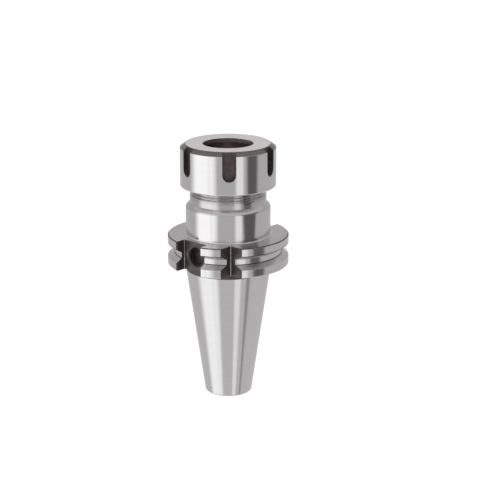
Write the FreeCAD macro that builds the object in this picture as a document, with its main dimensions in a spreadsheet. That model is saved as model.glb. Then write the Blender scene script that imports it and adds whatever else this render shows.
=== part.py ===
import FreeCAD, Part
import math
import os
import Sketcher

# Collet chuck holder: a steep-taper tool holder with a V-flange, a tapped neck and a slotted
# clamping nut that carries a loose extraction ring.  The frame stands on the small end of the
# shank: origin on the axis at that end, +Z towards the nut, -X through the shallow drive slot.

# Every driving size once: cell name, value in millimetres or degrees, what it is.
DRIVING_SIZES = (
    ("gauge_diameter", 44.45, "large end of the taper, at the gauge plane"),
    ("taper_rise", 7.0, "growth in diameter over taper_run"),
    ("taper_run", 24.0, "length of taper for that growth"),
    ("shank_length", 68.4, "small end to gauge plane"),
    ("shank_end_chamfer", 0.7, "chamfer of the small end"),
    ("gauge_land", 3.2, "plain land between gauge plane and flange"),
    ("flange_diameter", 63.55, "outside of the flange"),
    ("flange_thickness", 15.9, "flange along the axis"),
    ("flange_chamfer", 0.5, "chamfers of both flange rims"),
    ("gripper_groove_height", 11.1, "gauge plane to the middle of the gripper groove"),
    ("gripper_groove_diameter", 56.25, "across the floor of the gripper groove"),
    ("gripper_groove_floor", 2.86, "width of the floor of the gripper groove"),
    ("gripper_groove_angle", 30.0, "slope of each flank of the gripper groove"),
    ("drive_slot_width", 16.1, "both drive slots, wall to wall"),
    ("drive_slot_break", 0.85, "broken corner where a slot wall meets the rim"),
    ("shallow_slot_floor", 25.0, "axis to the floor of the slot with the data carrier hole"),
    ("deep_slot_floor", 22.8, "axis to the floor of the other slot"),
    ("notch_root", 25.84, "axis to the root of the right-angled orientation notch"),
    ("notch_angle", 45.0, "orientation notch, round from the shallow slot"),
    ("carrier_hole_diameter", 10.0, "blind hole for a data carrier"),
    ("carrier_hole_depth", 4.6, "depth of that hole"),
    ("carrier_hole_chamfer", 0.5, "chamfer of its mouth"),
    ("body_root_chamfer", 0.5, "chamfer between flange and body"),
    ("body_height", 34.3, "gauge plane to the start of the rounded shoulder"),
    ("shoulder_width", 2.2, "rounded shoulder, neck to body on the radius"),
    ("shoulder_height", 2.6, "rounded shoulder along the axis"),
    ("neck_length", 2.3, "plain neck between shoulder and thread"),
    ("thread_core_depth", 0.92, "depth of the nut thread, crest to core"),
    ("thread_length", 17.9, "thread from the neck to the nose"),
    ("nose_chamfer", 1.0, "chamfer of the nose"),
    ("nose_wall", 3.5, "mouth of the seat to the crest of the thread"),
    ("seat_diameter", 33.0, "mouth of the collet seat"),
    ("seat_angle", 8.0, "slope of the collet seat"),
    ("seat_depth", 34.0, "length of the collet seat"),
    ("seat_chamfer", 0.5, "chamfer of the mouth of the seat"),
    ("seat_relief_depth", 0.5, "undercut below the seat, on the radius"),
    ("seat_relief_length", 5.0, "length of that undercut"),
    ("stop_bore_diameter", 20.38, "tapping bore for a length stop"),
    ("stop_bore_length", 20.5, "length of that bore"),
    ("drill_point_angle", 59.0, "slope of the drilled cone under it"),
    ("drawbar_bore_diameter", 13.84, "tapping bore for the retention knob, right through"),
    ("drawbar_pilot_diameter", 17.0, "pilot bore of the retention knob"),
    ("drawbar_pilot_depth", 5.5, "depth of the pilot bore"),
    ("drawbar_pilot_chamfer", 0.8, "chamfer of the pilot bore"),
    ("nut_wall", 5.0, "crest of the thread to the outside of the nut"),
    ("nut_height", 22.5, "nut along the axis"),
    ("nut_face_chamfer_width", 2.87, "chamfer round the nut face, on the radius"),
    ("nut_face_chamfer_height", 2.1, "the same chamfer along the axis"),
    ("nut_foot_chamfer", 0.6, "chamfer round the foot of the nut"),
    ("nut_mouth_step", 3.4, "mouth of the seat to the opening in the nut face, on the radius"),
    ("nut_mouth_chamfer", 0.4, "chamfer of that opening"),
    ("nut_lip_thickness", 2.6, "nut face to the top of the ring groove"),
    ("nut_entry_chamfer", 1.0, "chamfer of the thread entry"),
    ("nut_turn", 13.5, "nut about the axis, as it was left"),
    ("wrench_slot_count", 6, "wrench slots round the nut"),
    ("wrench_slot_width", 6.9, "width of a wrench slot"),
    ("wrench_slot_depth", 2.7, "depth of a wrench slot"),
    ("wrench_slot_length", 15.0, "nut face to the round end of a slot"),
    ("thread_engaged", 12.2, "nut foot to the nose, as the nut was left"),
    ("thread_clearance", 0.1, "core of the thread to the bore of the nut, on the radius"),
    ("thread_relief_width", 2.0, "run-out groove above the nut's thread"),
    ("thread_relief_depth", 0.1, "run-out groove beyond the thread's outside"),
    ("ring_set_in", 1.4, "crest of the thread to the outside of the extraction ring"),
    ("ring_height", 5.0, "extraction ring along the axis"),
    ("ring_chamfer", 0.3, "outer chamfers of the ring"),
    ("ring_radial_clearance", 0.08, "ring to its groove, on the radius"),
    ("ring_axial_clearance", 0.05, "ring to its groove, above and below"),
    ("ring_snap_depth", 0.5, "snap edge under the ring, on the radius"),
    ("ring_snap_height", 0.5, "the same edge along the axis"),
    ("ring_cone_step", 0.5, "opening in the nut face to the small end of the ring's cone"),
    ("ring_cone_angle", 30.0, "slope of that cone"),
    ("ring_cone_height", 2.8, "cone along the axis"),
    ("ring_wall", 2.7, "outside of the ring to the recess between cone and lip"),
    ("ring_lip_thickness", 1.2, "extraction lip along the axis"),
    ("ring_lip_height", 1.0, "recess to the bore of the extraction lip"),
    ("ring_lip_offset", 0.5, "that bore off the axis, so one side of the lip stands out"),
    ("cut_overrun", 1.0, "how far a cutting outline runs past the metal"),
)


class Size:
    """A length or angle kept both as a number and as the sheet expression behind it."""

    def __init__(self, number, text):
        self.number = number
        self.text = text

    def combine(self, sign, other, number):
        return Size(number, "({} {} {})".format(self.text, sign, as_size(other).text))

    def __add__(self, other):
        return self.combine("+", other, self.number + as_size(other).number)

    def __sub__(self, other):
        return self.combine("-", other, self.number - as_size(other).number)

    def __mul__(self, other):
        return self.combine("*", other, self.number * as_size(other).number)

    def __truediv__(self, other):
        return self.combine("/", other, self.number / as_size(other).number)

    def __neg__(self):
        return Size(-self.number, "(0 - {})".format(self.text))


def as_size(value):
    """Lets a plain number stand where a size is wanted."""
    if isinstance(value, Size):
        return value
    return Size(value, str(value))


def tangent(angle):
    """Tangent of an angle in degrees."""
    return Size(math.tan(math.radians(angle.number)), "tan({})".format(angle.text))


def quarter_round(across, up, width, height, steps=3):
    """Corners of a convex quarter round turned as short cones, from its foot to its top."""
    corners = []
    for step in range(steps + 1):
        angle = math.pi / 2 * step / steps
        corners.append((across + width * math.cos(angle), up + height * math.sin(angle)))
    return corners


def square_root(size):
    """Square root of a size."""
    return Size(math.sqrt(size.number), "sqrt({})".format(size.text))


class Sizes:
    """The sheet of driving sizes; each cell is read as an attribute with its own name."""

    def __init__(self, doc, rows):
        self.sheet = doc.addObject("Spreadsheet::Sheet", "Sizes")
        self.numbers = {}
        for row, (name, value, meaning) in enumerate(rows, start=1):
            self.sheet.set("A{}".format(row), name)
            self.sheet.set("B{}".format(row), str(value))
            self.sheet.set("C{}".format(row), meaning)
            self.sheet.setAlias("B{}".format(row), name)
            self.numbers[name] = value

    def __getattr__(self, name):
        return Size(self.numbers[name], "Sizes." + name)


def new_body(doc, name):
    """An empty body; its label names the file that it is written to."""
    body = doc.addObject("PartDesign::Body", name)
    body.Label = name
    return body


def origin_part(body, role):
    """One of the body's own origin planes or axes."""
    return [part for part in body.Origin.OriginFeatures if part.Role == role][0]


def new_sketch(body, name, plane, raised=None, turned=None):
    """A sketch on one of the body's origin planes, raised along and turned about its normal."""
    sketch = body.newObject("Sketcher::SketchObject", name)
    sketch.AttachmentSupport = (origin_part(body, plane), [""])
    sketch.MapMode = "FlatFace"
    height = raised.number if raised else 0
    angle = turned.number if turned else 0
    sketch.AttachmentOffset = FreeCAD.Placement(
        FreeCAD.Vector(0, 0, height), FreeCAD.Rotation(FreeCAD.Vector(0, 0, 1), angle))
    if raised:
        sketch.setExpression("AttachmentOffset.Base.z", raised.text)
    if turned:
        sketch.setExpression("AttachmentOffset.Rotation.Angle", turned.text)
    return sketch


def bind(sketch, index, name, size):
    """Names a dimension and ties it to the sheet."""
    sketch.renameConstraint(index, name)
    sketch.setExpression("Constraints." + name, size.text)


def place_point(sketch, edge, end, across, up, name):
    """Dimensions one end of an edge from the sketch's origin."""
    for kind, size, axis in (("DistanceX", across, -2), ("DistanceY", up, -1)):
        if size.number == 0:
            sketch.addConstraint(Sketcher.Constraint("PointOnObject", edge, end, axis))
        elif size.number > 0:
            rule = Sketcher.Constraint(kind, -1, 1, edge, end, size.number)
            bind(sketch, sketch.addConstraint(rule), kind + name, size)
        else:
            rule = Sketcher.Constraint(kind, edge, end, -1, 1, -size.number)
            bind(sketch, sketch.addConstraint(rule), kind + name, -size)


def arc_centre(first, last, radius):
    """Centre of the short arc from first to last that runs anticlockwise."""
    chord = last - first
    middle = first + chord * 0.5
    rise = math.sqrt(max(radius ** 2 - (chord.Length / 2) ** 2, 0))
    return middle + FreeCAD.Vector(-chord.y, chord.x, 0) * (rise / chord.Length)


def draw_outline(sketch, corners):
    """Closed outline through corners (across, up); a corner with a third value starts an arc of
    that radius to the next corner, anticlockwise if the fourth value is "left"."""
    corners = [[as_size(corner[0]), as_size(corner[1])] + list(corner[2:]) for corner in corners]
    points = [FreeCAD.Vector(corner[0].number, corner[1].number, 0) for corner in corners]
    ends = []
    for index, corner in enumerate(corners):
        first = points[index]
        last = points[(index + 1) % len(points)]
        if len(corner) == 2:
            edge = sketch.addGeometry(Part.LineSegment(first, last), False)
            ends.append((edge, 1, 2))
            continue
        radius = corner[2]
        backwards = corner[3] != "left"
        start, stop = (last, first) if backwards else (first, last)
        centre = arc_centre(start, stop, radius.number)
        circle = Part.Circle(centre, FreeCAD.Vector(0, 0, 1), radius.number)
        arc = Part.ArcOfCircle(circle, circle.parameter(start), circle.parameter(stop))
        edge = sketch.addGeometry(arc, False)
        ends.append((edge, 2, 1) if backwards else (edge, 1, 2))
        rule = sketch.addConstraint(Sketcher.Constraint("Radius", edge, radius.number))
        bind(sketch, rule, "Radius{}".format(index), radius)
    for index, (edge, begin, finish) in enumerate(ends):
        before, _, before_finish = ends[index - 1]
        sketch.addConstraint(Sketcher.Constraint("Coincident", before, before_finish, edge, begin))
        place_point(sketch, edge, begin, corners[index][0], corners[index][1], str(index))


def draw_circle(sketch, across, up, radius):
    """A circle with its centre dimensioned from the sketch's origin."""
    centre = FreeCAD.Vector(as_size(across).number, as_size(up).number, 0)
    circle = Part.Circle(centre, FreeCAD.Vector(0, 0, 1), radius.number)
    edge = sketch.addGeometry(circle, False)
    place_point(sketch, edge, 3, as_size(across), as_size(up), "Centre")
    rule = sketch.addConstraint(Sketcher.Constraint("Radius", edge, radius.number))
    bind(sketch, rule, "Radius", radius)


def turn(body, sketch, name):
    """Turned form: the half section swept once round the axis."""
    revolution = body.newObject("PartDesign::Revolution", name)
    revolution.Profile = sketch
    revolution.ReferenceAxis = (sketch, ["V_Axis"])
    revolution.Angle = 360
    body.Document.recompute()
    return revolution


def mill(body, sketch, name, depth, reverse=False):
    """Pocket of a stated depth; it must take metal away."""
    before = body.Shape.Volume
    pocket = body.newObject("PartDesign::Pocket", name)
    pocket.Profile = sketch
    pocket.Type = "Length"
    pocket.Reversed = reverse
    pocket.setExpression("Length", depth.text)
    body.Document.recompute()
    if body.Shape.Volume >= before:
        raise RuntimeError(name + " cuts nothing")
    return pocket


def ring_edges(feature, radius, centre, axis):
    """Names of the feature's circular edges with this radius, centre and axis."""
    names = []
    for index, edge in enumerate(feature.Shape.Edges, start=1):
        curve = edge.Curve
        if not isinstance(curve, Part.Circle) or abs(curve.Radius - radius.number) > 1e-4:
            continue
        if (curve.Center - centre).Length < 1e-4 and abs(curve.Axis.dot(axis)) > 0.999:
            names.append("Edge{}".format(index))
    return names


def break_edges(body, name, feature, edges, size):
    """Chamfer along the named edges."""
    chamfer = body.newObject("PartDesign::Chamfer", name)
    chamfer.Base = (feature, edges)
    chamfer.setExpression("Size", size.text)
    body.Document.recompute()


def build_holder(doc, size):
    """Shank, flange, body and threaded neck, turned in one piece, then milled."""
    body = new_body(doc, "holder_body")
    gauge_radius = size.gauge_diameter / 2
    taper = size.taper_rise / size.taper_run / 2
    flange_radius = size.flange_diameter / 2
    flange_foot = size.shank_length + size.gauge_land
    flange_top = flange_foot + size.flange_thickness
    groove_radius = size.gripper_groove_diameter / 2
    groove_middle = size.shank_length + size.gripper_groove_height
    groove_half = size.gripper_groove_floor / 2
    rim_half = groove_half + (flange_radius - groove_radius) * tangent(size.gripper_groove_angle)
    seat_radius = size.seat_diameter / 2
    neck_radius = seat_radius + size.nose_wall
    body_radius = neck_radius + size.shoulder_width
    body_top = size.shank_length + size.body_height
    shoulder_top = body_top + size.shoulder_height
    neck_top = shoulder_top + size.neck_length
    core_radius = neck_radius - size.thread_core_depth
    nose = neck_top + size.thread_length
    seat_end = seat_radius - size.seat_depth * tangent(size.seat_angle)
    seat_floor = nose - size.seat_depth
    relief_radius = seat_end + size.seat_relief_depth
    relief_floor = seat_floor - size.seat_relief_length
    stop_radius = size.stop_bore_diameter / 2
    stop_floor = relief_floor - size.stop_bore_length
    drawbar_radius = size.drawbar_bore_diameter / 2
    drill_point = stop_floor - (stop_radius - drawbar_radius) / tangent(size.drill_point_angle)
    pilot_radius = size.drawbar_pilot_diameter / 2

    section = new_sketch(body, "holder_section", "XZ_Plane")
    draw_outline(section, (
        # shank, from the small end up
        (gauge_radius - size.shank_length * taper - size.shank_end_chamfer, 0),
        (gauge_radius - (size.shank_length - size.shank_end_chamfer) * taper, size.shank_end_chamfer),
        (gauge_radius, size.shank_length),
        (gauge_radius, flange_foot),
        # flange with its gripper groove
        (flange_radius - size.flange_chamfer, flange_foot),
        (flange_radius, flange_foot + size.flange_chamfer),
        (flange_radius, groove_middle - rim_half),
        (groove_radius, groove_middle - groove_half),
        (groove_radius, groove_middle + groove_half),
        (flange_radius, groove_middle + rim_half),
        (flange_radius, flange_top - size.flange_chamfer),
        (flange_radius - size.flange_chamfer, flange_top),
        # body, rounded shoulder, neck, core of the thread and nose
        (body_radius + size.body_root_chamfer, flange_top),
        (body_radius, flange_top + size.body_root_chamfer),
        *quarter_round(neck_radius, body_top, size.shoulder_width, size.shoulder_height),
        (neck_radius, neck_top),
        (core_radius, neck_top + size.thread_core_depth),
        (core_radius, nose - size.nose_chamfer),
        (core_radius - size.nose_chamfer, nose),
        # collet seat, stop bore and drawbar bore, from the nose down
        (seat_radius + size.seat_chamfer, nose),
        (seat_radius, nose - size.seat_chamfer),
        (seat_end, seat_floor),
        (relief_radius, seat_floor),
        (relief_radius, relief_floor),
        (stop_radius, relief_floor),
        (stop_radius, stop_floor),
        (drawbar_radius, drill_point),
        (drawbar_radius, size.drawbar_pilot_depth),
        (pilot_radius, size.drawbar_pilot_depth),
        (pilot_radius, size.drawbar_pilot_chamfer),
        (pilot_radius + size.drawbar_pilot_chamfer, 0),
    ))
    turn(body, section, "holder_turned")

    slot_half = size.drive_slot_width / 2
    corner = square_root(flange_radius * flange_radius - slot_half * slot_half)
    mouth_start = corner - size.drive_slot_break
    mouth_end = flange_radius + size.cut_overrun
    mouth_half = slot_half + (mouth_end - mouth_start)
    slots = (
        ("deep_slot", size.deep_slot_floor, None),
        ("shallow_slot", size.shallow_slot_floor, as_size(180)),
    )
    for name, floor, turned in slots:
        outline = new_sketch(body, name + "_outline", "XY_Plane", flange_top, turned)
        draw_outline(outline, (
            (floor, -slot_half),
            (mouth_start, -slot_half),
            (mouth_end, -mouth_half),
            (mouth_end, mouth_half),
            (mouth_start, slot_half),
            (floor, slot_half),
        ))
        mill(body, outline, name, size.flange_thickness)

    notch = new_sketch(body, "notch_outline", "XY_Plane", flange_top, size.notch_angle + 180)
    draw_outline(notch, (
        (size.notch_root, 0),
        (mouth_end, size.notch_root - mouth_end),
        (mouth_end, mouth_end - size.notch_root),
    ))
    mill(body, notch, "orientation_notch", size.flange_thickness)

    hole_radius = size.carrier_hole_diameter / 2
    hole = new_sketch(body, "carrier_outline", "YZ_Plane", -size.shallow_slot_floor)
    draw_circle(hole, 0, groove_middle, hole_radius)
    drilled = mill(body, hole, "carrier_hole", size.carrier_hole_depth, reverse=True)
    mouth = FreeCAD.Vector(-size.shallow_slot_floor.number, 0, groove_middle.number)
    edges = ring_edges(drilled, hole_radius, mouth, FreeCAD.Vector(1, 0, 0))
    break_edges(body, "carrier_mouth", drilled, edges, size.carrier_hole_chamfer)
    return body, nose


def build_nut(doc, size, nose):
    """Clamping nut: thread at the foot, ring groove above it, lip and mouth at the face."""
    body = new_body(doc, "clamping_nut")
    seat_radius = size.seat_diameter / 2
    thread_outside = seat_radius + size.nose_wall
    radius = thread_outside + size.nut_wall
    mouth = seat_radius - size.nut_mouth_step
    bore = thread_outside - size.thread_core_depth + size.thread_clearance
    relief = thread_outside + size.thread_relief_depth
    groove = thread_outside - size.ring_set_in + size.ring_radial_clearance
    groove_top = size.nut_height - size.nut_lip_thickness
    groove_floor = groove_top - size.ring_height - size.ring_axial_clearance * 2
    snap_foot = groove_floor - size.ring_snap_height
    thread_top = snap_foot - size.thread_relief_width

    section = new_sketch(body, "nut_section", "XZ_Plane")
    draw_outline(section, (
        (radius - size.nut_foot_chamfer, 0),
        (radius, size.nut_foot_chamfer),
        (radius, size.nut_height - size.nut_face_chamfer_height),
        (radius - size.nut_face_chamfer_width, size.nut_height),
        (mouth + size.nut_mouth_chamfer, size.nut_height),
        (mouth, size.nut_height - size.nut_mouth_chamfer),
        (mouth, groove_top),
        (groove, groove_top),
        (groove, groove_floor),
        (groove - size.ring_snap_depth, groove_floor),
        (groove - size.ring_snap_depth, snap_foot),
        (relief, snap_foot),
        (relief, thread_top),
        (bore, thread_top),
        (bore, size.nut_entry_chamfer),
        (bore + size.nut_entry_chamfer, 0),
    ))
    turn(body, section, "nut_turned")

    slot_half = size.wrench_slot_width / 2
    slot_end = size.nut_height - size.wrench_slot_length + slot_half
    above = size.nut_height + size.cut_overrun
    outline = new_sketch(body, "wrench_slot_outline", "XZ_Plane", radius)
    draw_outline(outline, (
        (-slot_half, above),
        (-slot_half, slot_end, slot_half, "left"),
        (0, slot_end - slot_half, slot_half, "left"),
        (slot_half, slot_end),
        (slot_half, above),
    ))
    first = mill(body, outline, "wrench_slot", size.wrench_slot_depth)
    slots = body.newObject("PartDesign::PolarPattern", "wrench_slots")
    slots.Originals = [first]
    slots.Axis = (origin_part(body, "Z_Axis"), [""])
    slots.Angle = 360
    slots.setExpression("Occurrences", size.wrench_slot_count.text)
    body.Tip = slots
    doc.recompute()

    foot = nose - size.thread_engaged
    body.setExpression("Placement.Base.z", foot.text)
    body.setExpression("Placement.Rotation.Angle", size.nut_turn.text)
    return body, foot + groove_floor + size.ring_axial_clearance


def build_ring(doc, size, foot):
    """Extraction ring: pressing cone above, recess, and an eccentric lip at the foot."""
    body = new_body(doc, "extraction_ring")
    seat_radius = size.seat_diameter / 2
    radius = seat_radius + size.nose_wall - size.ring_set_in
    cone_small = seat_radius - size.nut_mouth_step + size.ring_cone_step
    cone_large = cone_small + size.ring_cone_height * tangent(size.ring_cone_angle)
    cone_foot = size.ring_height - size.ring_cone_height
    recess = radius - size.ring_wall
    lip = recess - size.ring_lip_height

    section = new_sketch(body, "ring_section", "XZ_Plane")
    draw_outline(section, (
        (lip - size.ring_lip_offset, 0),
        (radius - size.ring_chamfer, 0),
        (radius, size.ring_chamfer),
        (radius, size.ring_height - size.ring_chamfer),
        (radius - size.ring_chamfer, size.ring_height),
        (cone_small, size.ring_height),
        (cone_large, cone_foot),
        (recess, cone_foot),
        (recess, size.ring_lip_thickness),
        (lip - size.ring_lip_offset, size.ring_lip_thickness),
    ))
    turn(body, section, "ring_turned")
    bore = new_sketch(body, "lip_outline", "XY_Plane", size.ring_lip_thickness)
    draw_circle(bore, size.ring_lip_offset, 0, lip)
    mill(body, bore, "eccentric_lip", size.ring_lip_thickness)
    body.setExpression("Placement.Base.z", foot.text)
    return body


def check(doc, bodies):
    """Stops if any object failed or any piece is not one sound solid."""
    for item in doc.Objects:
        if "Invalid" in item.State or "Error" in item.State:
            raise RuntimeError("{} failed: {}".format(item.Name, item.State))
    for body in bodies:
        if body.Shape.isNull() or not body.Shape.isValid() or len(body.Shape.Solids) != 1:
            raise RuntimeError(body.Label + " is not one valid solid")


def main():
    doc = FreeCAD.newDocument("collet_chuck_holder")
    size = Sizes(doc, DRIVING_SIZES)
    doc.recompute()
    holder, nose = build_holder(doc, size)
    nut, ring_foot = build_nut(doc, size, nose)
    ring = build_ring(doc, size, ring_foot)
    doc.recompute()
    bodies = (holder, nut, ring)
    check(doc, bodies)
    os.makedirs("parts", exist_ok=True)
    for body in bodies:
        body.Shape.exportStep("parts/{}.step".format(body.Label))
        box = body.Shape.BoundBox
        print("{}: z {:.2f} to {:.2f}, {:.0f} mm3".format(
            body.Label, box.ZMin, box.ZMax, body.Shape.Volume))


main()
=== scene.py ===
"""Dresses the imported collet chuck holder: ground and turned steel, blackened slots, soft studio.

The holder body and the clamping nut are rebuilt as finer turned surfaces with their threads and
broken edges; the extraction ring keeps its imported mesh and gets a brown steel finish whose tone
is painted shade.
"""

from __future__ import annotations

import logging
import math
from dataclasses import dataclass, field
from enum import Enum

import bmesh
import bpy
import numpy as np
from mathutils import Euler, Matrix

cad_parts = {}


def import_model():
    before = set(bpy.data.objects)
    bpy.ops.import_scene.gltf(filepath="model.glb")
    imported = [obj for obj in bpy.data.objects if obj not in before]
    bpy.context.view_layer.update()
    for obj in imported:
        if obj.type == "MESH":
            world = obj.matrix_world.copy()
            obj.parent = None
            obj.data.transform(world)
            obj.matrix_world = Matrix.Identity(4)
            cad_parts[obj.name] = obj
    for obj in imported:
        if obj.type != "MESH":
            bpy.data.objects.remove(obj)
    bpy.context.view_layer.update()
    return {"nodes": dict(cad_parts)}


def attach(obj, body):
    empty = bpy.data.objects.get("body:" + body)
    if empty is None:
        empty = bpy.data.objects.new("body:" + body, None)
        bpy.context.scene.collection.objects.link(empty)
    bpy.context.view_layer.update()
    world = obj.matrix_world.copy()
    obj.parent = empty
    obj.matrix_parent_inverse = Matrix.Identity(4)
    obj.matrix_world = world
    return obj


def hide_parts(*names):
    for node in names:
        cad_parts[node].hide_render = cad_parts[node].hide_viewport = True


Piece = bpy.types.Object
NodeTree = bpy.types.NodeTree
Node = bpy.types.Node
Socket = bpy.types.NodeSocket
LOG = logging.getLogger("collet_chuck_holder")
MM = 0.001
COLUMNS = 192
TURN = 2 * math.pi
SHARP_ANGLE = math.radians(27)
WELD_DISTANCE = 1e-6
SUPPORT_GAP = 0.04
LEAST_AREA = 1e-14
ARC_STEP = math.radians(19)
COARSE_RINGS = 0.16
GRAIN_FINENESS = 7.0
GRAIN_SHARE = 0.35
COAT_CONTRAST = 4.0
NOISE_LOW, NOISE_HIGH = 0.3, 0.7
RING_HEIGHT = 0.0001
SHANK_SLOPE = 3.5 / 24
PAST_RIM = 1.0
OVERRUN = 0.15
HOLE_OVERRUN = 0.3


class Finish(Enum):
    """The finishes that faces of the turned pieces can take; the value is the material index."""

    GROUND = 0
    TURNED = 1
    THREAD = 2
    BLACKENED = 3
    # A paler steel along the roots of the flange slots and notch, and on the nut's slot mouths.
    PALE_EDGE = 4
    BORE = 5
    CHAMFER = 6


# Half sections and surfaces


@dataclass(frozen=True)
class Station:
    """A corner of a half section, in millimetres.

    rounding is the radius that the corner is broken to; finish belongs to the run that follows.
    """

    radius: float
    height: float
    finish: Finish = Finish.GROUND
    rounding: float = 0.0


@dataclass
class HalfSection:
    """Rounded half section: radii and heights of its points, and the finish after each one."""

    radii: np.ndarray
    heights: np.ndarray
    finishes: np.ndarray


def corner_arc(before: np.ndarray, at: np.ndarray, after: np.ndarray,
               rounding: float) -> np.ndarray:
    """Points of a broken corner with a support point just beyond each end of its arc.

    The arc has its centre at equal distance from both runs: centre = corner - t*in + r*normal,
    with t = r * tan(half the turn), and its points are that centre minus the turned normal.

    Args:
        before: the point before the corner.
        at: the corner.
        after: the point after the corner.
        rounding: radius of the arc.

    Returns:
        The points, one row each.
    """
    incoming = (at - before) / np.linalg.norm(at - before)
    outgoing = (after - at) / np.linalg.norm(after - at)
    side = math.copysign(1.0, incoming[0] * outgoing[1] - incoming[1] * outgoing[0])
    turn = math.acos(float(np.clip(incoming @ outgoing, -1, 1)))
    reach = rounding * math.tan(turn / 2)
    normal = side * np.array([-incoming[1], incoming[0]])
    centre = at - reach * incoming + rounding * normal
    steps = max(2, math.ceil(turn / ARC_STEP))
    angle = side * np.linspace(0, turn, steps + 1)
    turned = np.stack([normal[0] * np.cos(angle) - normal[1] * np.sin(angle),
                       normal[0] * np.sin(angle) + normal[1] * np.cos(angle)], axis=1)
    arc = centre - rounding * turned
    first = at - (reach + SUPPORT_GAP) * incoming
    last = at + (reach + SUPPORT_GAP) * outgoing
    return np.vstack([first, arc, last])


def half_section(stations: list[Station]) -> HalfSection:
    """Turns corners into a half section, with an arc at each corner that has a rounding.

    Args:
        stations: the corners in order, metal on the left-hand side of the way round.

    Returns:
        The rounded half section.
    """
    corners = [np.array([station.radius, station.height]) for station in stations]
    points, finishes = [], []
    last = len(stations) - 1
    for index, station in enumerate(stations):
        previous = stations[index - 1]
        if station.rounding == 0 or index in (0, last):
            points.append(corners[index][None, :])
            finishes.append(station.finish.value)
            continue
        arc = corner_arc(corners[index - 1], corners[index], corners[index + 1],
                         station.rounding)
        points.append(arc)
        finishes.extend([previous.finish.value] * (len(arc) - 2) + [station.finish.value] * 2)
    section = np.vstack(points)
    return HalfSection(section[:, 0], section[:, 1], np.array(finishes))


def rounded_shoulder(across: float, up: float, width: float, height: float, finish: Finish,
                     steps: int = 10) -> list[Station]:
    """Corners of a shoulder with an upright foot: across + width*(1-t^1.5), up + height*t."""
    shares = np.linspace(0, 1, steps + 1)
    return [Station(across + width * (1 - t ** 1.5), up + height * t, finish) for t in shares]


def fillet(across: float, up: float, radius: float, finish: Finish,
           steps: int = 6) -> list[Station]:
    """Corners of a concave quarter circle in the root between a face below and a wall above."""
    angles = np.linspace(math.pi / 2, 0, steps + 1)
    return [Station(across + radius * (1 - math.cos(a)), up + radius * (1 - math.sin(a)), finish)
            for a in angles]


def quads_of(numbers: np.ndarray) -> np.ndarray:
    """The quads between neighbouring rows and columns of a grid of point numbers."""
    return np.stack([numbers[:-1, :-1], numbers[:-1, 1:], numbers[1:, 1:], numbers[1:, :-1]],
                    -1).reshape(-1, 4)


@dataclass
class Shell:
    """Grids of points gathered for one mesh: their points, quads and finish numbers."""

    points: list[np.ndarray] = field(default_factory=list)
    quads: list[np.ndarray] = field(default_factory=list)
    finishes: list[np.ndarray] = field(default_factory=list)
    count: int = 0

    def add_grid(self, points: np.ndarray, finishes: np.ndarray, seam_shift: int = 0,
                 inward: bool = False) -> None:
        """Adds a grid whose columns run round the axis and close on themselves.

        Args:
            points: array of rows x columns x 3, in metres.
            finishes: finish number of the strip of faces above each row.
            seam_shift: rows that the grid climbs in one turn, so that row k of the last column
                meets row k + seam_shift of the first.
            inward: whether the faces look towards the axis when the rows run upwards.
        """
        rows, columns = points.shape[:2]
        numbers = np.arange(rows * columns).reshape(rows, columns) + self.count
        strips = numbers.shape[0] - 1
        kept = strips - seam_shift
        seam = np.stack([numbers[:kept, -1], numbers[seam_shift:strips, 0],
                         numbers[seam_shift + 1:, 0], numbers[1:kept + 1, -1]], -1)
        strip_finish = np.asarray(finishes)[:strips]
        self.points.append(points.reshape(-1, 3))
        quads = np.vstack([quads_of(numbers), seam])
        self.quads.append(quads[:, ::-1] if inward else quads)
        self.finishes += [np.repeat(strip_finish, columns - 1), strip_finish[:kept]]
        self.count += rows * columns

    def weld(self, name: str) -> Piece:
        """Makes the mesh, merges the points that grids share and drops faces with no area."""
        points = np.vstack(self.points)
        quads = np.vstack(self.quads)
        finishes = np.concatenate(self.finishes)
        corners = points[quads]
        spread = np.abs(corners.max(axis=1) - corners.min(axis=1)).max(axis=1)
        diagonals = np.cross(corners[:, 2] - corners[:, 0], corners[:, 3] - corners[:, 1])
        solid = (spread > WELD_DISTANCE) & (np.linalg.norm(diagonals, axis=1) > LEAST_AREA)
        mesh = mesh_from_arrays(name, points, quads[solid], finishes[solid])
        tidy = bmesh.new()
        tidy.from_mesh(mesh)
        bmesh.ops.remove_doubles(tidy, verts=tidy.verts, dist=WELD_DISTANCE)
        loose = [vertex for vertex in tidy.verts if not vertex.link_faces]
        bmesh.ops.delete(tidy, geom=loose, context="VERTS")
        tidy.to_mesh(mesh)
        tidy.free()
        return new_object(name, mesh)


def mesh_from_arrays(name: str, points: np.ndarray, faces: np.ndarray | list,
                     finishes: np.ndarray) -> bpy.types.Mesh:
    """A mesh from points in metres, faces and the material index of each face."""
    mesh = bpy.data.meshes.new(name)
    listed = faces.tolist() if isinstance(faces, np.ndarray) else faces
    mesh.from_pydata(points.tolist(), [], listed)
    mesh.polygons.foreach_set("material_index", np.asarray(finishes, dtype=np.int32))
    mesh.update()
    return mesh


def new_object(name: str, mesh: bpy.types.Mesh) -> Piece:
    """An object for the mesh, at the origin, in the scene's collection."""
    piece = bpy.data.objects.new(name, mesh)
    bpy.context.scene.collection.objects.link(piece)
    return piece


def revolve(section: HalfSection) -> np.ndarray:
    """Surface of revolution: (r cos t, r sin t, z) for each point of the section and angle t."""
    angle = np.linspace(0, TURN, COLUMNS, endpoint=False)
    radius = section.radii[:, None]
    height = np.broadcast_to(section.heights[:, None], (len(section.heights), COLUMNS))
    return np.stack([radius * np.cos(angle), radius * np.sin(angle), height], -1) * MM


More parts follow.
